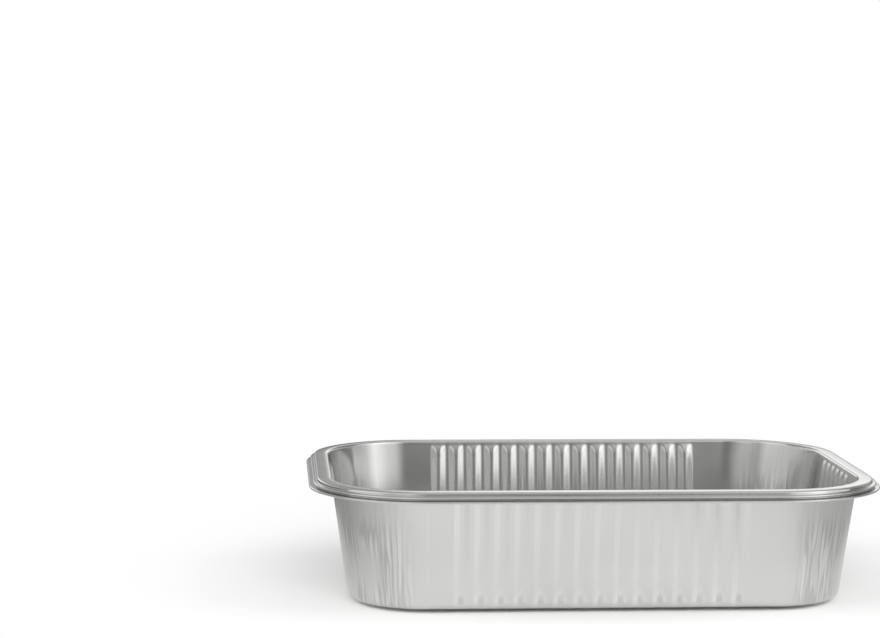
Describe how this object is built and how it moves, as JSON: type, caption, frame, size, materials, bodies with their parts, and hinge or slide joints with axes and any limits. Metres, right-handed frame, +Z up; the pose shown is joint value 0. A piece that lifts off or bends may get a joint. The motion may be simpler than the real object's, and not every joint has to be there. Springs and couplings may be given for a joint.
{
  "type": "foil food container",
  "caption": "Oblong pressed aluminium foil food container with a folded and rolled rim, flat flange, ribbed leaning walls and a stepped floor of sunken panels.",
  "frame": {"origin": "middle of the underside, on the surface that the container stands on", "axes": "+X along the length, +Y along the width, +Z up towards the open rim"},
  "size_m": [0.226, 0.154, 0.049],
  "materials": {
    "foil": "satin"
  },
  "bodies": {
    "root": {"container": "foil"}
  },
  "joints": []
}
